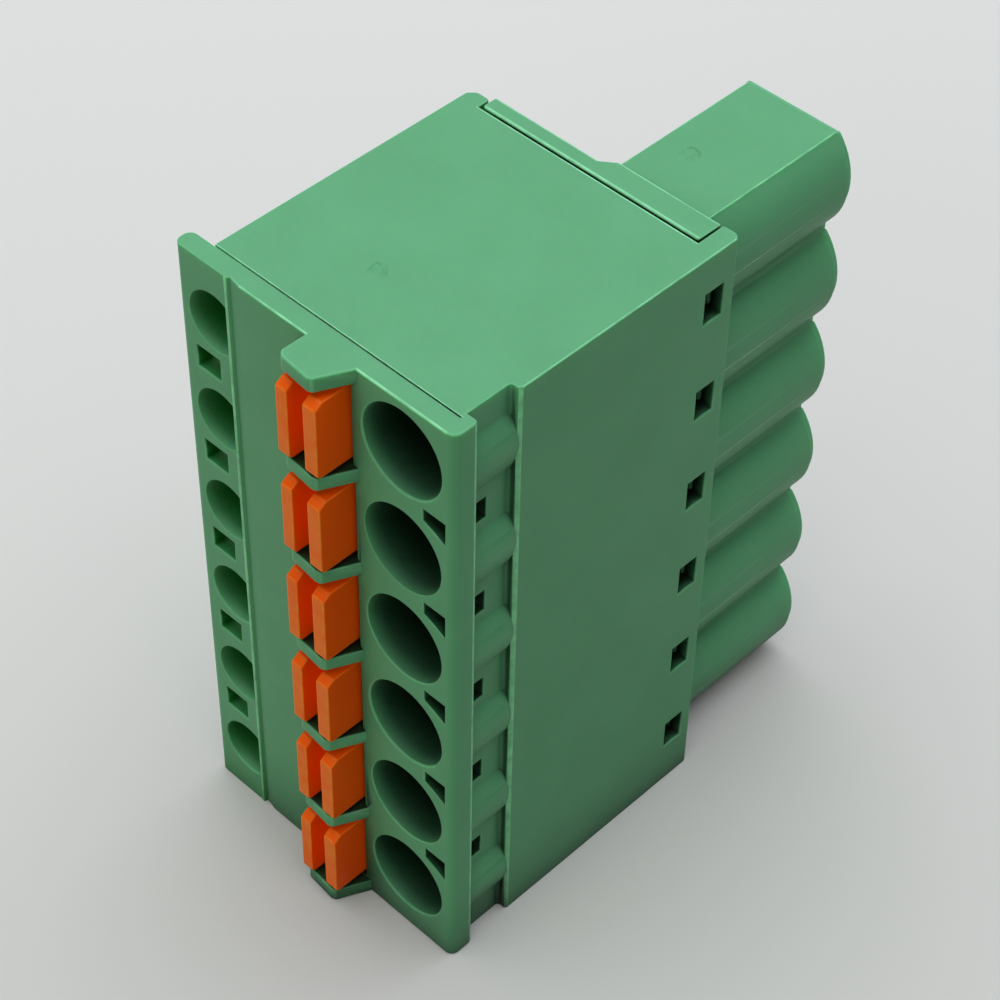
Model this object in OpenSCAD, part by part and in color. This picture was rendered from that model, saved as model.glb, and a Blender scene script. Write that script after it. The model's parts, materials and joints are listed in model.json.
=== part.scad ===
// Pluggable push-in terminal block, six poles, standing on one end.
// +Z runs along the row of poles, +Y from the wire face to the mating nose.
// Origin: the end it stands on, midway across the flange and along the housing.
// "across" is measured from the flange's back edge, "deep" from the wire face.

/* [Poles] */
// distance from one pole to the next
pitch = 5.08; // [4.9:0.01:5.5]
// what the housing has at each end beyond half a pitch
end_over = 0.38; // [0.2:0.01:0.8]
// how far the row of poles sits above the middle
row_rise = 0.08; // [0:0.01:0.15]
// wall between two poles
wall_p = 0.68; // [0.5:0.01:0.9]

/* [Housing] */
// width of the flange round the wire face
flange_w = 14.9; // [14.4:0.05:15.6]
// thickness of the flange
flange_t = 0.88; // [0.6:0.01:1.2]
// rounding of the flange's front edge on the side
flange_round = 0.4; // [0.2:0.01:0.5]
// rounding of the flange's rear edge on the side
rear_round = 0.22; // [0.1:0.01:0.3]
// rounding of the flange's back edge
back_round = 0.36; // [0.2:0.01:0.42]
// groove between the flange and the housing on the end faces
end_groove = 0.09; // [0.05:0.01:0.15]
// how far the back of the housing lies inside the flange
back_in = 1.25; // [1.1:0.05:1.4]
// how far the side of the housing lies inside the flange
side_in = 0.15; // [0:0.01:0.3]
// wire face to the end of the side wall
depth = 15.4; // [14.8:0.1:16.4]
// how much shorter the back wall is than the side wall
back_short = 0.8; // [0.5:0.05:1.1]
// thickness of the side wall
side_wall = 0.9; // [0.7:0.05:1.1]
// thickness of the back wall where the nose piece is let in
back_wall = 1.0; // [0.8:0.05:1.2]
// solid front of the housing, from the wire face to the clamping chambers
front_d = 6.5; // [6:0.1:7]
// thickness of the chambers' wall on the back
chamber_wall = 1.6; // [1.3:0.05:1.9]
// chamfer along the free edges of the outer walls
edge_cut = 0.2; // [0.05:0.01:0.3]

/* [Side recess] */
// depth of the recess behind the flange on the side
recess_d = 0.46; // [0.2:0.01:0.6]
// where the recess starts, from the wire face
recess_y0 = 1.25; // [1.1:0.01:1.5]
// where the recess ends, from the wire face
recess_y1 = 3.45; // [3:0.05:4]
// rounding in the corner where the recess ends
recess_round = 0.14; // [0.05:0.01:0.3]

/* [Wire entries] */
// middle of the wire entries to the side of the housing
entry_in = 2.55; // [2.5:0.01:2.7]
// radius of the mouth
entry_r = 2.05; // [1.8:0.01:2.15]
// wall of the wire entries where they bulge out in the recess
entry_wall = 0.47; // [0.4:0.01:0.5]
// radius of the entry at its inner end
bore_r = 1.85; // [1.7:0.01:2]
// length of the taper from there to the throat
guide_l = 0.6; // [0.4:0.05:0.8]
// radius of the throat that guides the wire
throat_r = 1.3; // [1:0.01:1.5]
// length of the throat
throat_l = 1.6; // [1:0.05:2]
// how far the entries sit above the middle of their poles
entry_rise = 0.3; // [0:0.01:0.35]

/* [Test points] */
// test point to the flange's back edge
test_x = 2.05; // [1.95:0.01:2.2]
// radius of the mouth
test_r = 1.42; // [1.2:0.01:1.5]
// width of the mouth where the ledge cuts it off
test_cut = 0.75; // [0.6:0.01:0.9]
// radius of the probe hole behind the mouth
probe_r = 0.6; // [0.4:0.01:0.7]
// depth of the mouth
test_d = 3.2; // [2.6:0.05:3.6]
// wall round the mouth on the back of the housing
test_wall = 0.33; // [0.25:0.01:0.35]

/* [Small slots] */
// height of the slots between the poles
slot_h = 1.1; // [0.9:0.01:1.3]
// how far the slots sit above the middle between two poles
slot_rise = 0.15; // [0:0.01:0.25]
// depth of the slots
slot_d = 2.28; // [1.8:0.01:2.6]
// how much the inner end of the slots beside the wire entries is cut off below
slot_cut = 0.5; // [0.3:0.01:0.7]
// height of the holes by which those slots open into the side recess
hole_h = 1.05; // [0.8:0.01:1.2]
// how far those holes sit below the middle between two poles
hole_drop = 0.12; // [0:0.01:0.25]
// width of the slots beside the wire entries
slot_w = 1.14; // [0.9:0.01:1.2]
// outer edge of the slots beside the wire entries to the flange's edge
slot_in = 0.46; // [0.4:0.01:0.6]
// width of the slots beside the test points
code_w = 1.3; // [1:0.01:1.4]
// outer edge of the slots beside the test points to the flange's edge
code_in = 0.87; // [0.8:0.01:1.05]

/* [Marking strip] */
// width of the ledge beside the test points
ledge_w = 0.18; // [0.15:0.01:0.4]
// height of the ledge over the wire face
ledge_h = 0.03; // [0.02:0.01:0.1]
// depth of the groove along the ledge
groove_d = 0.12; // [0.05:0.01:0.2]
// width of the slope that leads out of the groove
groove_w = 0.65; // [0.4:0.05:0.8]

/* [Buttons] */
// back edge of the button channel to the flange's back edge
chan_x = 7.27; // [7.1:0.01:7.4]
// gap between a button and its channel
button_gap = 0.1; // [0.05:0.01:0.15]
// height of a button along the row
button_h = 3.9; // [3.6:0.05:4.1]
// how far a button is pushed in
travel = 1.4; // [1:0.05:1.5]
// how far a pressed button still stands out of the wire face
proud = 0.28; // [0.2:0.01:0.4]
// thickness of the back ridge of a button
ridge_a = 0.6; // [0.5:0.01:0.7]
// thickness of the front ridge of a button
ridge_b = 0.68; // [0.5:0.01:0.75]
// width of the screwdriver slot between the ridges
drive_w = 0.85; // [0.7:0.01:0.95]
// depth of the screwdriver slot
drive_d = 2.68; // [2.3:0.01:3]
// how much lower the top of the ridges lies than the button's
ridge_low = 0.18; // [0.1:0.01:0.4]
// chamfer at the top of the ridges
ridge_cut = 0.38; // [0.2:0.01:0.6]
// chamfer at the bottom of the ridges
ridge_foot = 0.15; // [0.05:0.01:0.3]
// width of the hoods between the buttons
hood_w = 2.65; // [2.5:0.01:2.8]
// how far the hoods between the buttons stand out
hood_out = 1.55; // [1.3:0.01:1.62]
// slope of the hoods' front towards the back
hood_slope = 0.14; // [0.05:0.01:0.2]
// chamfer at the back of the hoods
hood_cut = 0.22; // [0.1:0.01:0.3]
// how far the hoods' tip lies inside their foot at the front
hood_tip = 0.95; // [0.7:0.05:1.2]

/* [Latches] */
// length of the latch windows
window_w = 1.05; // [0.8:0.01:1.15]
// height of the latch windows
window_h = 1.54; // [1.2:0.01:1.8]
// how far the windows sit above the middle of their poles
window_rise = 0.17; // [0:0.01:0.25]
// end of the side windows to the end of the side wall
window_in = 0.75; // [0.65:0.01:0.9]
// gap round a latch in its window
latch_gap = 0.05; // [0.03:0.01:0.08]

/* [Nose piece] */
// gap between the nose piece and the housing
seam = 0.08; // [0.05:0.01:0.1]
// how deep the nose piece is let in, from the end of the side wall
seat_d = 1.4; // [1.3:0.05:1.6]
// thickness of its plate
plate_t = 0.8; // [0.6:0.01:1]
// thickness of its plate round the nose
collar_t = 1.3; // [1.2:0.01:1.4]
// half the slope between its plate's two thicknesses
collar_cut = 0.33; // [0.2:0.01:0.4]
// back face of the nose to the flange's back edge
nose_x = 8.25; // [8.1:0.05:8.4]
// width of the flat part of the nose
nose_w = 4.62; // [4.5:0.01:4.8]
// height of the lobes on the nose
lobe_h = 0.93; // [0.8:0.01:0.97]
// radius of the lobes
lobe_r = 3.25; // [3.2:0.01:3.6]
// length of the nose beyond the side wall
nose_l = 8.3; // [7.6:0.05:9]
// half height of the nose at its two end poles
nose_end = 2.36; // [2.25:0.01:2.4]
// width of the square pin openings
pin_w = 1.5; // [1.3:0.01:1.8]
// thickness of the wall at the mating end
tip_wall = 1.0; // [0.8:0.05:1.2]
// wall of the contact pockets on the back of the nose
pocket_wall = 0.85; // [0.7:0.01:1]
// wall of the contact pockets under the lobes
lobe_wall = 1.05; // [0.95:0.01:1.15]
// wall of the contact pockets at the ends of the nose
pocket_end = 0.68; // [0.5:0.01:0.8]
// chamfer round the mating end
nose_cut = 0.3; // [0.1:0.01:0.4]
// lead-in of the pin openings
lead_in = 0.4; // [0.2:0.05:0.5]

/* [Metal parts] */
// thickness of the contact strip
strip_t = 0.4; // [0.3:0.01:0.5]
// height of the contact strip along the row
strip_h = 3.0; // [2.4:0.05:3.4]
// height of the contact tines along the row
tine_h = 2.2; // [1.8:0.05:2.6]
// gap between the tines where they grip the pin
grip = 0.85; // [0.6:0.01:0.95]
// thickness of the clamp spring
spring_t = 0.3; // [0.2:0.01:0.35]
// height of the clamp spring along the row
spring_h = 2.8; // [2.2:0.05:3.2]
// radius of the clamp spring's bend
bend_r = 2.0; // [1.8:0.05:2.2]
// where the tines grip the pin, from the mating end
grip_in = 2.6; // [2.2:0.05:3]
// flare of the tines beyond the grip
flare = 0.25; // [0.1:0.01:0.35]
// half the space between the tines at their root
tine_x = 1.0; // [0.9:0.05:1.1]

/* [Hidden] */
$fn = 48;
eps = 0.01;
// how far cutters reach beyond a face
cut = 0.1;
poles = 6;
height = poles * pitch + 2 * end_over;
side_x = flange_w - side_in;
inner_x = side_x - side_wall;
let_x = back_in + back_wall;
seat_y = depth - seat_d;
recess_x = side_x - recess_d;
room_x = back_in + chamber_wall;
room_h = pitch - wall_p;
entry_x = side_x - entry_in;
slot_x = flange_w - slot_in - slot_w;
ledge_slope = 0.04;
tip_y = depth + nose_l;
pin_x = nose_x + nose_w / 2 + 0.1;
window_y = depth - window_in - window_w;
back_window_y = depth - back_short - window_in - window_w;
// latches of the nose piece
latch_h = window_h - 0.5;
latch_flat = 0.2;
arm_t = 0.5;
arm_l = 0.3;
// buttons: body in the channel, shoulder behind it, foot on the spring
button_out = travel + proud;
body_x = chan_x + button_gap;
body_w = ridge_a + drive_w + ridge_b;
chan_w = body_w + 2 * button_gap;
body_y = drive_d - button_out;
body_short = 0.3;
ridge_x = body_x + ridge_a + drive_w;
ridge_y = body_y + 0.5;
stop_gap = 0.04;
shoulder_w = 0.5;
shoulder_t = 0.7;
shoulder_h = button_h - 0.6;
foot_w = 1.2;
foot_h = button_h - 1.2;
// contact: strip against the side wall, base plate across the chamber, two tines
strip_x = inner_x - strip_t;
strip_y = front_d + 0.4;
base_x = room_x + 0.6;
base_y = seat_y + seam - strip_t;
// clamp spring: base leg on the contact's base plate, bend, clamping leg
spring_y = base_y - spring_t;
spring_end = strip_x - 0.3;
bend_x = room_x + bend_r + 0.7;
bend_y = spring_y + spring_t - bend_r;
leg_y = bend_y - bend_r;
leg_end = strip_x - 0.1;
leg_rise = 1.9;
// a button's foot ends just short of the clamping leg
foot_x = body_x + body_w - foot_w;
foot_y = leg_y + (foot_x - bend_x) / (leg_end - bend_x) * leg_rise - 0.08;

green = [0.36, 0.64, 0.46];
orange = [0.93, 0.38, 0.06];
tin = [0.80, 0.80, 0.78];
steel = [0.66, 0.67, 0.68];

// height of a pole's middle; pole 1 is the uppermost
function pole_z(i) = end_over + row_rise + pitch / 2 + (poles - i) * pitch;

// moves from the flange's corner to the part's origin
module placed() translate([-flange_w / 2, -depth / 2, 0]) children();

module at_pole(i) translate([0, 0, pole_z(i)]) children();

module each_pole() for (i = [1:poles]) at_pole(i) children();

module between_poles() for (i = [1:poles - 1]) translate([0, 0, pole_z(i) - pitch / 2]) children();

// box from a corner, centred along the row
module bar(x, y, w, d, h) translate([x, y, -h / 2]) cube([w, d, h]);

// round piece along +Y
module rod(x, y, l, r0, r1) translate([x, y, 0]) rotate([-90, 0, 0]) cylinder(h = l, r1 = r0, r2 = r1);

// draws a section in X and Z over a stretch of Y
module deep(y, l) translate([0, y + l, 0]) rotate([90, 0, 0]) linear_extrude(height = l) children();

// plan outline drawn full height
module tall(points) linear_extrude(height = height) polygon(points);

// quarter of a circle, for a rounded edge of a plan outline
function quarter(x, y, r, from) = [for (a = [0:22.5:90]) [x + r * cos(from + a), y + r * sin(from + a)]];

// plan outline of the flange, with the ledge and groove beside the test points
function flange_plan() =
    let (l = test_x + test_cut, g = l + ledge_w, f = flange_round, r = rear_round,
         b = min(back_round, flange_t / 2 - eps))
    [
        each quarter(b, flange_t - b, b, 90), each quarter(b, b, b, 180),
        [l, 0], [l + ledge_slope, -ledge_h], [g - ledge_slope, -ledge_h],
        [g + ledge_slope, groove_d], [g + groove_w, 0],
        each quarter(flange_w - f, f, f, 270), each quarter(flange_w - r, recess_y0 - r, r, 0),
        [recess_x - recess_d, recess_y0], [recess_x - recess_d, flange_t]
    ];

// plan outline of the housing behind the flange
function body_plan() =
    let (r = recess_round, c = edge_cut)
    [
        [back_in, flange_t / 2], [recess_x, flange_t / 2],
        for (a = [180:-30:90]) [recess_x + r + r * cos(a), recess_y1 - r + r * sin(a)],
        [side_x - c / 2, recess_y1], [side_x, recess_y1 + c / 2],
        [side_x, depth - c], [side_x - c, depth], [inner_x, depth],
        [inner_x, seat_y], [let_x, seat_y], [let_x, depth - back_short],
        [back_in + 1.5 * c, depth - back_short], [back_in, depth - back_short - 1.5 * c]
    ];

// plan outline of the hoods that part the buttons
function hood_plan() =
    let (a = chan_x, b = chan_x + hood_w, y = -hood_out)
    [
        [a, flange_t / 2], [a, y + hood_slope + hood_cut], [a + hood_cut, y + hood_slope],
        [b - hood_tip, y], [b - hood_tip + hood_cut, y + hood_cut / 3], [b, 0], [b, flange_t / 2]
    ];

// outline along the row of the slots beside the wire entries
function slot_end() =
    let (a = slot_x, b = slot_x + slot_w, top = slot_rise + slot_h / 2, low = slot_rise - slot_h / 2)
    [[a, low + slot_cut], [b, low], [b, top], [a, top]];

// slab that takes one hood out of the hoods' outline
module hood_slab(h) bar(0, -hood_out - cut, flange_w, hood_out + flange_t, h);

module wire_entry() translate([entry_x, 0, entry_rise]) {
    guide_y = front_d - throat_l - guide_l;
    rod(0, -eps, guide_y + 2 * eps, entry_r, bore_r);
    rod(0, guide_y, guide_l + eps, bore_r, throat_r);
    rod(0, guide_y + guide_l, throat_l + 1, throat_r, throat_r);
}

module test_point() {
    mouth_r = probe_r + 0.2;
    intersection() {
        rod(test_x, -eps, test_d, test_r, mouth_r);
        bar(0, -cut, test_x + test_cut, test_d + 2 * cut, 2 * test_r);
    }
    rod(test_x, test_d - cut, front_d - test_d + 2 * cut, probe_r, probe_r);
    // way from the probe hole into the chamber
    bar(test_x, front_d - 1, room_x + 0.5 - test_x, 1.4, 2 * probe_r);
}

module housing() color(green) placed() difference() {
    union() {
        tall(flange_plan());
        tall(body_plan());
        // hoods at both ends and between the buttons
        intersection() {
            tall(hood_plan());
            union() {
                between_poles() hood_slab(wall_p);
                for (z = [0, height]) translate([0, 0, z]) hood_slab(wall_p + 2 * end_over);
            }
        }
        // walls of the wire entries and test points, standing out behind the flange
        each_pole() {
            rod(entry_x, flange_t / 2, recess_y1 - flange_t / 2, entry_r + entry_wall, entry_r + entry_wall);
            rod(test_x, flange_t / 2, test_d, test_r + test_wall, probe_r + 0.2 + test_wall);
        }
    }
    each_pole() {
        wire_entry();
        test_point();
        // channel of the button, chamber of the contact and spring, windows of the latches
        bar(chan_x, -cut, chan_w, front_d + 2 * cut, room_h);
        bar(room_x, front_d, inner_x - room_x, depth, room_h);
        translate([0, 0, window_rise]) {
            bar(inner_x - cut, window_y, side_wall + 2 * cut, window_w, window_h);
            bar(back_in - cut, back_window_y, chamber_wall + 2 * cut, window_w, window_h);
        }
    }
    between_poles() {
        deep(-cut, recess_y0 + cut) polygon(slot_end());
        translate([0, 0, -hole_drop]) bar(slot_x, recess_y0 - cut, slot_w, slot_d - recess_y0 + cut, hole_h);
        translate([0, 0, slot_rise]) bar(code_in, -cut, code_w, slot_d + cut, slot_h);
    }
    for (z = [0, height]) translate([0, 0, z])
        bar(back_in - cut, flange_t, recess_x - back_in + cut, end_groove, 2 * end_groove);
}

// cross section of the nose along the row: flat back, one lobe for each pole
module nose_section(grow) {
    low = pole_z(poles) - nose_end + grow;
    translate([nose_x - grow, low]) square([nose_w, pole_z(1) + nose_end - grow - low]);
    for (i = [1:poles]) intersection() {
        translate([nose_x + nose_w + lobe_h - lobe_r - grow, pole_z(i)]) circle(r = lobe_r);
        translate([nose_x + 1, pole_z(i) - nose_end + grow]) square([nose_w + lobe_h, 2 * (nose_end - grow)]);
    }
}

// latch that rises towards the mating side; its height is along +X
module latch(y, w, rise) translate([0, 0, -latch_h / 2]) linear_extrude(height = latch_h)
    polygon([[-arm_l, y], [0, y], [rise, y + w - latch_flat], [rise, y + w], [-arm_l, y + w]]);

// plan outline of the plate let in between the housing's walls, thicker round the nose
function plate_plan() =
    let (a = let_x + seam, b = inner_x - seam, y = seat_y + seam)
    [
        [a, y], [b, y], [b, y + collar_t], [nose_x + collar_cut, y + collar_t],
        [nose_x - collar_cut, y + plate_t], [a, y + plate_t]
    ];

module nose() color(green) placed() difference() {
    union() {
        tall(plate_plan());
        deep(seat_y + plate_t / 2, tip_y - nose_cut - seat_y - plate_t / 2) nose_section(0);
        deep(tip_y - nose_cut - eps, nose_cut + eps) nose_section(nose_cut / 2);
        // latches in the windows of the side wall
        each_pole() translate([inner_x - seam, 0, window_rise])
            latch(seat_y + seam, depth - window_in - latch_gap - seat_y - seam, side_wall / 2);
        // arms with latches in the windows of the back wall
        each_pole() translate([room_x + seam, 0, window_rise]) {
            bar(0, back_window_y - arm_l, arm_t, seat_y + plate_t / 2 + arm_l - back_window_y, window_h + 0.4);
            mirror([1, 0, 0])
                latch(back_window_y + latch_gap, window_w - 2 * latch_gap, chamber_wall / 2);
        }
    }
    each_pole() {
        // pocket for the contact, closed at the mating end but for the pin opening
        bar(nose_x + pocket_wall, seat_y - 1, nose_w + lobe_h - pocket_wall - lobe_wall,
            tip_y - tip_wall - seat_y + 1, 2 * (nose_end - pocket_end));
        bar(pin_x - pin_w / 2, tip_y - tip_wall - cut, pin_w, tip_wall + 2 * cut, pin_w);
        translate([pin_x, tip_y - lead_in, 0]) rotate([-90, 45, 0])
            cylinder(h = lead_in + cut, d1 = pin_w * sqrt(2), d2 = (pin_w + 2 * (lead_in + cut)) * sqrt(2), $fn = 4);
    }
}

module ridge(x, t) translate([x, 0, 0]) rotate([90, 0, 90]) linear_extrude(height = t)
    let (top = button_h / 2 - ridge_low, low = -button_h / 2, y = -button_out)
    polygon([
        [ridge_y, low], [ridge_y, top], [y + ridge_cut, top], [y, top - 0.7 * ridge_cut],
        [y, low + ridge_foot], [y + ridge_foot, low]
    ]);

module button(i) color(orange) placed() at_pole(i) {
    ridge(body_x, ridge_a);
    ridge(ridge_x, ridge_b);
    // body in the channel; the screwdriver slot between the ridges ends on it
    bar(body_x, body_y, body_w, front_d - body_y - body_short, button_h);
    // shoulder that keeps it in the channel, and the foot that pushes the spring
    bar(body_x - shoulder_w, front_d + stop_gap, body_w + shoulder_w, shoulder_t, shoulder_h);
    bar(body_x, front_d - 1, body_w, 1 + stop_gap + shoulder_t / 2, shoulder_h);
    bar(foot_x, front_d, foot_w, foot_y - front_d, foot_h);
}

// contact: strip, base plate and the two tines that grip the pin
module contact(i) color(tin) placed() at_pole(i) {
    bar(strip_x, strip_y, strip_t, seat_y + seam - strip_y, strip_h);
    bar(base_x, base_y, inner_x - base_x, strip_t, strip_h);
    for (s = [-1, 1]) translate([pin_x, 0, -tine_h / 2]) linear_extrude(height = tine_h)
        polygon([
            [s * tine_x, base_y], [s * (tine_x + strip_t), base_y],
            [s * (tine_x + strip_t), depth + 1], [s * (grip / 2 + strip_t), tip_y - grip_in],
            [s * (grip / 2 + strip_t + flare), tip_y - tip_wall - 0.2],
            [s * (grip / 2 + flare), tip_y - tip_wall - 0.2],
            [s * grip / 2, tip_y - grip_in], [s * tine_x, depth + 1]
        ]);
}

// clamp spring: base leg, bend and clamping leg
module spring(i) color(steel) placed() at_pole(i) {
    dx = leg_end - bend_x;
    n = sqrt(dx * dx + leg_rise * leg_rise);
    bar(bend_x, spring_y, spring_end - bend_x, spring_t, spring_h);
    translate([bend_x, bend_y, -spring_h / 2]) rotate([0, 0, 90])
        rotate_extrude(angle = 180) translate([bend_r - spring_t, 0]) square([spring_t, spring_h]);
    translate([0, 0, -spring_h / 2]) linear_extrude(height = spring_h)
        polygon([
            [bend_x, leg_y], [leg_end, leg_y + leg_rise],
            [leg_end - spring_t * leg_rise / n, leg_y + leg_rise + spring_t * dx / n],
            [bend_x, leg_y + spring_t]
        ]);
}

housing();
nose();
button(1);  // button_1
button(2);  // button_2
button(3);  // button_3
button(4);  // button_4
button(5);  // button_5
button(6);  // button_6
contact(1);  // contact_1
contact(2);  // contact_2
contact(3);  // contact_3
contact(4);  // contact_4
contact(5);  // contact_5
contact(6);  // contact_6
spring(1);  // spring_1
spring(2);  // spring_2
spring(3);  // spring_3
spring(4);  // spring_4
spring(5);  // spring_5
spring(6);  // spring_6
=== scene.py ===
import json
import math

import bmesh
import bpy
from mathutils import Matrix, Vector
from mathutils.geometry import intersect_point_line

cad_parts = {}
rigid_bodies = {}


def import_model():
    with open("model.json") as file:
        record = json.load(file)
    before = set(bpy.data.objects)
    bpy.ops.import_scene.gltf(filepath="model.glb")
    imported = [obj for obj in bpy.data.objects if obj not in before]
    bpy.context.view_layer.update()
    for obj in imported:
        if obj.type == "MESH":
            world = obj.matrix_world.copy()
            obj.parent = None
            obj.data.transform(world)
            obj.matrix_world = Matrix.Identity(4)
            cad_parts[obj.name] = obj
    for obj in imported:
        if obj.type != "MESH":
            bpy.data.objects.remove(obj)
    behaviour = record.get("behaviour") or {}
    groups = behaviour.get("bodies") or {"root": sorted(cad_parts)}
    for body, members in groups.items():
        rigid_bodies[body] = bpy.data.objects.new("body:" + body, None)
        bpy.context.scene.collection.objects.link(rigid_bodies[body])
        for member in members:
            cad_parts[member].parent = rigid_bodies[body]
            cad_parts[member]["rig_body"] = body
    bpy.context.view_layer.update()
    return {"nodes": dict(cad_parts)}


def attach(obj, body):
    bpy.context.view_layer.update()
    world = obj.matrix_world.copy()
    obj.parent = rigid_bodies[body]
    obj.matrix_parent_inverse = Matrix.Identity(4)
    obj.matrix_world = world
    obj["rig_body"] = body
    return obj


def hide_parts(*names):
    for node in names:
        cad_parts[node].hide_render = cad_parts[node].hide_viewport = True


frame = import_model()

MM = 0.001

POLES = 6
# middles of the mould's gate marks, in mm
GATES = ((-0.86, -3.42, 31.24), (2.28, 10.47, 30.76))

# corners nearer than this are one, and faces that bend less than this are one
WELD = 2e-7
FLAT = math.radians(0.4)
# the sharpest bend that is still left as it is, and the turn up to which an edge runs on
SHARP = math.radians(28)
SAME_LINE = math.radians(35)
# sine of the angle from which an edge that starts at another one bounds the room beside it
STEEP = 0.6
# edges longer than this get the full rounding and the brightest painted highlight, the others a
# share of it
LONG = 3 * MM
SHORT_ROUND = 0.5
SHORT_RIM = 0.25
# long faces narrower than this get the painted highlight as well
NARROW = 0.1 * MM
# the most that a rounding takes of the width beside its edge
ROOM_USED = 0.42
# faces whose normal reaches further than this along Y look to the front; mark_rims can paint a
# highlight on them
FRONT = -0.6

# how far the painted shade of a nook and of a narrow crease reaches
NOOK = 9 * MM
CREASE = 1.6 * MM

# camera: place in mm, turns in degrees, lens and sensor in mm
CAMERA_PLACE = (54.526, -54.910, 96.600)
YAW, PITCH, ROLL = 43.518, -45.719, 1.301
LENS = 96.8004
SENSOR = 36.0


# ---------------------------------------------------------------- materials

def new_material(name):
    mat = bpy.data.materials.new(name)
    mat.use_nodes = True
    tree = mat.node_tree
    return mat, tree, tree.nodes["Principled BSDF"]


def settle(node, **sockets):
    """Sets a node's sockets by name, with _ for a space."""
    for key, value in sockets.items():
        node.inputs[key.replace("_", " ")].default_value = value


def add(tree, kind, **sockets):
    """A shader node with its sockets set by name."""
    node = tree.nodes.new(kind)
    settle(node, **sockets)
    return node


def here(tree):
    """The place on the piece, in the shared frame."""
    return tree.nodes.new("ShaderNodeTexCoord").outputs["Object"]


def noise(tree, scale, detail=3.0, rough=0.5):
    n = add(tree, "ShaderNodeTexNoise", Scale=scale, Detail=detail, Roughness=rough)
    tree.links.new(here(tree), n.inputs["Vector"])
    return n.outputs["Fac"]


def map_range(tree, value, a, b, low, high):
    r = add(tree, "ShaderNodeMapRange", From_Min=a, From_Max=b, To_Min=low, To_Max=high)
    tree.links.new(value, r.inputs["Value"])
    return r.outputs["Result"]


def ramp(tree, fac, low, high, a=0.35, b=0.65):
    r = tree.nodes.new("ShaderNodeValToRGB")
    for stop, place, colour in zip(r.color_ramp.elements, (a, b), (low, high)):
        stop.position = place
        stop.color = colour
    tree.links.new(fac, r.inputs["Fac"])
    return r.outputs["Color"]


def combine(tree, operation, a, b):
    """A Math node over two sockets."""
    m = tree.nodes.new("ShaderNodeMath")
    m.operation = operation
    tree.links.new(a, m.inputs[0])
    tree.links.new(b, m.inputs[1])
    return m.outputs[0]


def edges(tree):
    """A patchy mask of painted highlight over the rounded edges, which rounded() marks with the
    attribute rim.
    """
    mark = tree.nodes.new("ShaderNodeAttribute")
    mark.attribute_name = "rim"
    patch = map_range(tree, noise(tree, 1500.0, 3.0), 0.3, 0.6, 0.45, 1.0)
    return combine(tree, "MULTIPLY", mark.outputs["Fac"], patch)


def open_to(tree, reach, low, high, least=0.0):
    """A mask for painted shade: 1 where nothing within reach shuts the surface in, falling to
    least in a nook.
    """
    sky = add(tree, "ShaderNodeAmbientOcclusion", Distance=reach)
    sky.samples = 6
    return map_range(tree, sky.outputs["AO"], low, high, least, 1.0)


def mix(tree, fac, a, b):
    """A blend of two colours, each a tuple or a socket."""
    m = tree.nodes.new("ShaderNodeMix")
    m.data_type = "RGBA"
    tree.links.new(fac, m.inputs["Factor"])
    for socket, value in ((m.inputs[6], a), (m.inputs[7], b)):
        if isinstance(value, tuple):
            socket.default_value = value
        else:
            tree.links.new(value, socket)
    return m.outputs[2]


def bumps(tree, bsdf, layers):
    """Stacked bumps: each layer is (height socket, strength, distance in metres)."""
    normal = None
    for height, strength, distance in layers:
        b = add(tree, "ShaderNodeBump", Strength=strength, Distance=distance)
        tree.links.new(height, b.inputs["Height"])
        if normal:
            tree.links.new(normal, b.inputs["Normal"])
        normal = b.outputs["Normal"]
    tree.links.new(normal, bsdf.inputs["Normal"])


def gate_marks(tree):
    """Heights of the small torn rings that the mould's gates left on the top faces."""
    height = None
    for gate in GATES:
        away = tree.nodes.new("ShaderNodeVectorMath")
        away.operation = "DISTANCE"
        away.inputs[1].default_value = tuple(c * MM for c in gate)
        tree.links.new(here(tree), away.inputs[0])
        # a ring about 0.3 mm in radius, soft on both sides and broken up by noise
        ring = map_range(tree, away.outputs["Value"], 0.46 * MM, 0.34 * MM, 0, 1)
        hollow = map_range(tree, away.outputs["Value"], 0.12 * MM, 0.26 * MM, 0.1, 1)
        torn = map_range(tree, noise(tree, 2200.0, 2.0), 0.42, 0.62, 0, 1)
        mark = combine(tree, "MULTIPLY", combine(tree, "MULTIPLY", ring, hollow), torn)
        height = combine(tree, "ADD", height, mark) if height else mark
    return height


def by_wall(tree, thin, thick):
    """The colour of the painted shade in a nook: lighter at -X, where the thin walls of the test
    points let more light through.
    """
    along = tree.nodes.new("ShaderNodeSeparateXYZ")
    tree.links.new(here(tree), along.inputs[0])
    return mix(tree, map_range(tree, along.outputs["X"], -4.6 * MM, -4.0 * MM, 0, 1), thin, thick)


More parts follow.
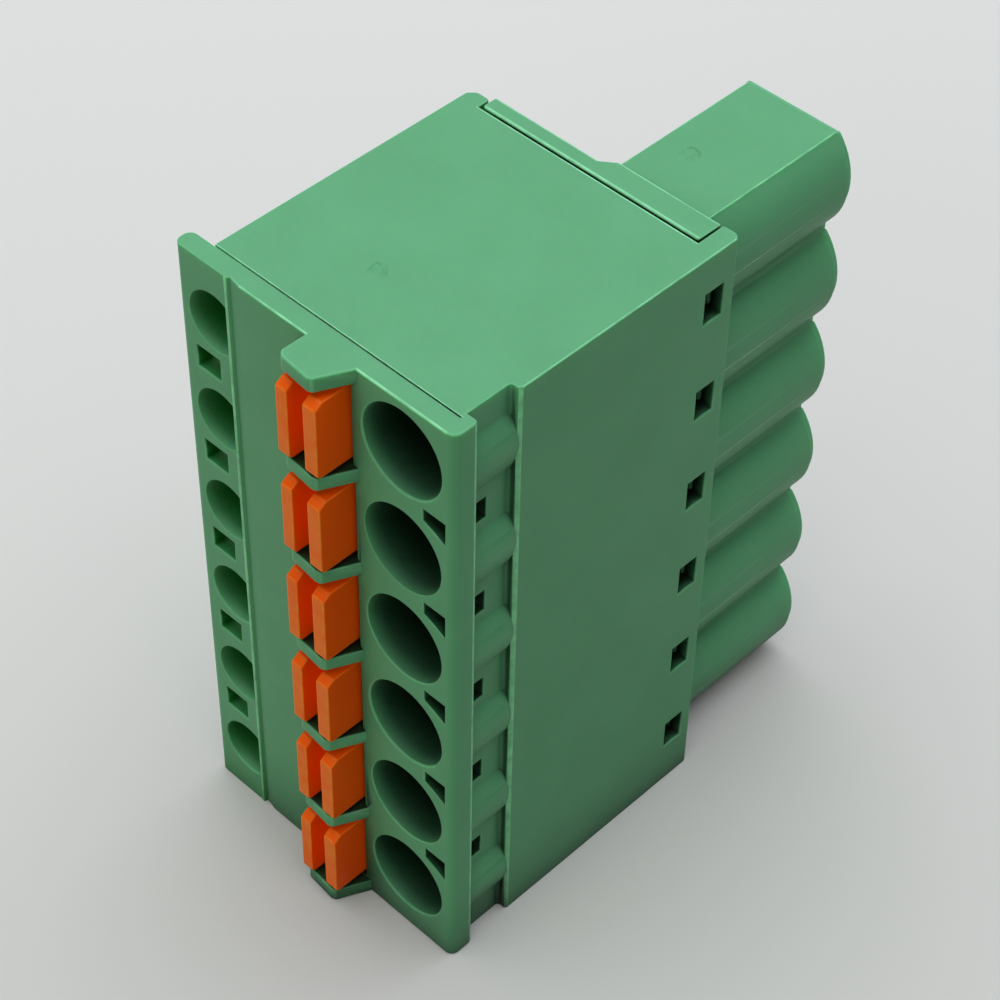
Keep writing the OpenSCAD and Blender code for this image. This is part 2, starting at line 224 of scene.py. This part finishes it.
def plastic(name, *, base, dark, rim, nook, thin_nook=None, crease, rough, shine, depth, glow,
            gated=False):
    """Moulded plastic: cloudy colour, fine eroded grain, a painted highlight on its edges,
    painted shade in its nooks.

    crease is the least share of light that the painted shade leaves in the narrowest crease,
    depth and glow are the share and the colour of the light that wanders under the surface.
    """
    mat, tree, bsdf = new_material(name)
    body = ramp(tree, noise(tree, 260.0, 4.0), dark, base)
    # painted highlight: the edges that rounded() marks are painted paler
    painted_highlight = mix(tree, edges(tree), body, rim)
    # painted shade: where ambient occlusion finds the surface shut in, the colour is painted
    # darker towards nook
    wide = open_to(tree, NOOK, 0.2, 0.6)
    near = open_to(tree, CREASE, 0.3, 0.85, crease)
    light = combine(tree, "MULTIPLY", combine(tree, "MULTIPLY", wide, wide), near)
    if thin_nook:
        nook = by_wall(tree, thin_nook, nook)
    tree.links.new(mix(tree, light, nook, painted_highlight), bsdf.inputs["Base Color"])
    tree.links.new(map_range(tree, noise(tree, 700.0, 5.0), 0, 1, rough - 0.05, rough + 0.07),
                   bsdf.inputs["Roughness"])
    settle(bsdf, IOR=1.5, Specular_IOR_Level=shine, Subsurface_Weight=depth,
           Subsurface_Scale=1.0 * MM, Subsurface_Radius=glow)
    layers = [(noise(tree, 420.0, 2.0), 0.12, 0.03 * MM),
              (noise(tree, 9000.0, 2.0, 0.6), 0.16, 0.008 * MM)]
    if gated:
        layers.append((gate_marks(tree), 0.7, 0.1 * MM))
    bumps(tree, bsdf, layers)
    return mat


def metal(name, base, dark, rough, stretch):
    """Rolled metal strip: drawn lines along the strip and faint stains."""
    mat, tree, bsdf = new_material(name)
    settle(bsdf, Metallic=1.0)
    tree.links.new(ramp(tree, noise(tree, 900.0, 4.0), dark, base), bsdf.inputs["Base Color"])
    place = add(tree, "ShaderNodeMapping", Scale=stretch)
    lines = add(tree, "ShaderNodeTexNoise", Scale=1.0, Detail=3.0)
    tree.links.new(here(tree), place.inputs["Vector"])
    tree.links.new(place.outputs["Vector"], lines.inputs["Vector"])
    tree.links.new(map_range(tree, lines.outputs["Fac"], 0, 1, rough - 0.08, rough + 0.12),
                   bsdf.inputs["Roughness"])
    bumps(tree, bsdf, [(lines.outputs["Fac"], 0.2, 0.01 * MM)])
    return mat


# in both plastics rim is the colour of a painted highlight, nook and thin_nook the colours of
# painted shade
GREEN = plastic(
    "green_plastic", base=(0.125, 0.42, 0.205, 1), dark=(0.115, 0.395, 0.19, 1),
    rim=(0.30, 0.80, 0.43, 1), nook=(0.0, 0.008, 0.001, 1), thin_nook=(0.0, 0.14, 0.004, 1),
    crease=0.25, rough=0.46, shine=0.22, depth=0.5, glow=(0.15, 1.0, 0.25), gated=True)
ORANGE = plastic(
    "orange_plastic", base=(1.0, 0.12, 0.002, 1), dark=(0.96, 0.10, 0.001, 1),
    rim=(1.0, 0.30, 0.04, 1), nook=(0.98, 0.045, 0.0, 1),
    crease=1.0, rough=0.42, shine=0.1, depth=0.4, glow=(1.0, 0.2, 0.05))
# painted glow: a faint orange emission makes the buttons brighter than the lamps alone light them
settle(ORANGE.node_tree.nodes["Principled BSDF"],
       Emission_Color=(1.0, 0.18, 0.0, 1), Emission_Strength=0.06)
TIN = metal("tinned_copper", (0.62, 0.60, 0.56, 1), (0.48, 0.47, 0.44, 1), 0.34,
            (4000, 300, 4000))
STEEL = metal("spring_steel", (0.55, 0.55, 0.55, 1), (0.42, 0.42, 0.43, 1), 0.30,
              (300, 300, 5000))


# ---------------------------------------------------------------- pieces

def put(name, data):
    """A new object of the scene."""
    made = bpy.data.objects.new(name, data)
    bpy.context.scene.collection.objects.link(made)
    return made


def runs_on(a, b, v):
    """Whether edge b carries on smoothly from edge a at the corner v."""
    return (v.co - a.other_vert(v).co).angle(b.other_vert(v).co - v.co, math.pi) < SAME_LINE


def chains(sharp):
    """Sharp edges, grouped into the lines and arcs that they form."""
    left = set(sharp)
    for first in sharp:
        if first not in left:
            continue
        left.discard(first)
        chain = [first]
        for e in chain:
            for v in e.verts:
                for other in v.link_edges:
                    if other in left and runs_on(e, other, v):
                        left.discard(other)
                        chain.append(other)
        yield chain


def to_edge(point, e):
    """Distance from a point to the nearest place on an edge."""
    near, share = intersect_point_line(point, e.verts[0].co, e.verts[1].co)
    if not 0 < share < 1:
        near = e.verts[0 if share <= 0 else 1].co
    return (point - near).length


def room_beside(e, chain):
    """How far the faces beside edge e reach before they meet another edge, in metres."""
    way = (e.verts[1].co - e.verts[0].co).normalized()
    around = {o for f in e.link_faces for o in f.edges}.union(*(v.link_edges for v in e.verts))
    room = 1.0
    for other in around - chain:
        if set(other.verts) & set(e.verts):
            side = (other.verts[1].co - other.verts[0].co).cross(way).length
            if side > STEEP * other.calc_length():
                room = min(room, side)
        else:
            room = min([room] + [to_edge(v.co, e) for v in other.verts]
                       + [to_edge(v.co, other) for v in e.verts])
    return room


def soften(mesh, radius):
    """Weights each sharp outer line of a mesh by the share of the radius that it has room for."""
    bm = bmesh.new()
    bm.from_mesh(mesh)
    bmesh.ops.remove_doubles(bm, verts=bm.verts, dist=WELD)
    bmesh.ops.dissolve_limit(bm, angle_limit=FLAT, verts=bm.verts, edges=bm.edges)
    weight = bm.edges.layers.float.new("bevel_weight_edge")
    sharp = [e for e in bm.edges if e.calc_face_angle(0) > SHARP]
    # inner corners stay crisp
    for e in sharp:
        e.smooth = e.is_convex
    for chain in chains([e for e in sharp if e.is_convex]):
        room = min(room_beside(e, set(chain)) for e in chain)
        # a chain of many short steps is a small arc, whatever its length
        is_long = sum(e.calc_length() for e in chain) > max(LONG, len(chain) * MM)
        share = 1 if is_long else SHORT_ROUND
        for e in chain:
            e[weight] = min(share, ROOM_USED * room / radius)
    for f in bm.faces:
        f.smooth = True
    bm.to_mesh(mesh)
    bm.free()


def bevelled(node, radius, mat):
    """A softened copy of a CAD node's mesh; the faces of its bevels have material 1."""
    mesh = frame["nodes"][node].data.copy()
    soften(mesh, radius)
    mesh.materials.clear()
    mesh.materials.append(mat)
    mesh.materials.append(None)
    raw = put(node + "_raw", mesh)
    soft = raw.modifiers.new("soft", "BEVEL")
    soft.width = radius
    soft.segments = 2
    soft.limit_method = "WEIGHT"
    soft.use_clamp_overlap = False
    soft.material = 1
    raw.modifiers.new("normals", "WEIGHTED_NORMAL").keep_sharp = True
    bpy.context.view_layer.update()
    shown = raw.evaluated_get(bpy.context.evaluated_depsgraph_get())
    made = bpy.data.meshes.new_from_object(shown)
    bpy.data.objects.remove(raw)
    return made


def mark_rims(mesh, painted_highlight):
    """The attribute rim: how much painted highlight each face gets. Then all faces get material
    0.
    """
    rim = mesh.attributes.new("rim", "FLOAT", "FACE")
    for p in mesh.polygons:
        length = max((mesh.vertices[a].co - mesh.vertices[b].co).length for a, b in p.edge_keys)
        if length > LONG and (p.material_index or p.area / length < NARROW):
            rim.data[p.index].value = 1.0
        elif p.material_index:
            rim.data[p.index].value = SHORT_RIM
        # painted highlight: the front faces, turned to the window lamp, are painted paler by the
        # given share
        if p.normal.y < FRONT:
            rim.data[p.index].value = max(rim.data[p.index].value, painted_highlight)
        p.material_index = 0
    mesh.materials.pop(index=1)


def rounded(node, radius, mat, painted_highlight=0.0):
    """A softened copy of a CAD node, which stands for the node; the last argument is the share of
    painted highlight on its front faces.
    """
    made = bevelled(node, radius, mat)
    mark_rims(made, painted_highlight)
    made.name = node + "_visual"
    piece = put(node + "_visual", made)
    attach(piece, frame["nodes"][node]["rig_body"])
    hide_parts(node)


rounded("housing", 0.16 * MM, GREEN)
rounded("nose", 0.12 * MM, GREEN)
for pole in range(1, POLES + 1):
    # the buttons' front faces get half of the painted highlight
    rounded("button_%d" % pole, 0.14 * MM, ORANGE, 0.5)
    rounded("contact_%d" % pole, 0.04 * MM, TIN)
    rounded("spring_%d" % pole, 0.03 * MM, STEEL)


# ---------------------------------------------------------------- studio

def floor_material():
    mat, tree, bsdf = new_material("pale_floor")
    # painted light: the table is painted paler towards the back, where more light falls, and
    # darker towards the camera
    away = tree.nodes.new("ShaderNodeVectorMath")
    away.operation = "DOT_PRODUCT"
    away.inputs[1].default_value = (-0.69, 0.72, 0)
    tree.links.new(here(tree), away.inputs[0])
    depth = map_range(tree, away.outputs["Value"], -0.02, 0.07, 0, 1)
    pale = ramp(tree, depth, (0.63, 0.645, 0.605, 1), (0.735, 0.745, 0.71, 1), 0, 1)
    tree.links.new(pale, bsdf.inputs["Base Color"])
    settle(bsdf, Roughness=0.7, Specular_IOR_Level=0.1)
    # what lights the part from below is kept low, as on a matt table in a light tent
    path = tree.nodes.new("ShaderNodeLightPath")
    seen = path.outputs["Is Camera Ray"]
    for ray in ("Is Glossy Ray", "Is Transmission Ray"):
        seen = combine(tree, "MAXIMUM", seen, path.outputs[ray])
    dim = add(tree, "ShaderNodeBsdfDiffuse", Color=(0.24, 0.262, 0.20, 1))
    both = tree.nodes.new("ShaderNodeMixShader")
    for socket, source in zip(both.inputs, (seen, dim.outputs[0], bsdf.outputs[0])):
        tree.links.new(source, socket)
    tree.links.new(both.outputs[0], tree.nodes["Material Output"].inputs["Surface"])
    return mat


def studio_floor():
    half = 1.2
    corners = [(-half, -half, 0), (half, -half, 0), (half, half, 0), (-half, half, 0)]
    mesh = bpy.data.meshes.new("floor")
    mesh.from_pydata(corners, [], [(0, 1, 2, 3)])
    mesh.materials.append(floor_material())
    floor = put("floor", mesh)
    # a hair lower than the part's base, so that the two don't share a plane
    floor.location.z = -0.01 * MM


def lamp(name, place, size, power, tint):
    """A square lamp at a place in mm, turned to the lower part of the block."""
    target = Vector((0, 0, 10))
    light = bpy.data.lights.new(name, "AREA")
    light.shape = "SQUARE"
    light.size = size
    light.energy = power
    light.color = tint
    lit = put(name, light)
    lit.location = Vector(place) * MM
    lit.rotation_euler = (target - Vector(place)).to_track_quat("-Z", "Y").to_euler()


def camera():
    yaw, pitch, roll = (math.radians(a) for a in (YAW, PITCH, ROLL))
    ahead = Vector((-math.sin(yaw) * math.cos(pitch), math.cos(yaw) * math.cos(pitch),
                    math.sin(pitch)))
    level = Vector((math.cos(yaw), math.sin(yaw), 0))
    upright = level.cross(ahead)
    right = level * math.cos(roll) + upright * math.sin(roll)
    up = -level * math.sin(roll) + upright * math.cos(roll)
    data = bpy.data.cameras.new("camera")
    data.lens = LENS
    data.sensor_width = SENSOR
    data.clip_start = 0.005
    data.clip_end = 10.0
    cam = put("camera", data)
    turn = Matrix((right, up, -ahead)).transposed().to_4x4()
    cam.matrix_world = Matrix.Translation(Vector(CAMERA_PLACE) * MM) @ turn
    bpy.context.scene.camera = cam


def world():
    w = bpy.data.worlds.new("studio")
    bpy.context.scene.world = w
    w.use_nodes = True
    settle(w.node_tree.nodes["Background"], Color=(0.95, 0.98, 1.0, 1), Strength=0.09)


bpy.context.scene.view_settings.view_transform = "Standard"
studio_floor()
lamp("key", (-40, 80, 620), 1.00, 6.1, (0.98, 0.98, 1.04))
lamp("window", (60, -390, 190), 0.35, 0.38, (1.0, 0.95, 0.85))
lamp("side", (-320, -200, 180), 0.30, 0.10, (1.0, 0.97, 0.92))
world()
camera()
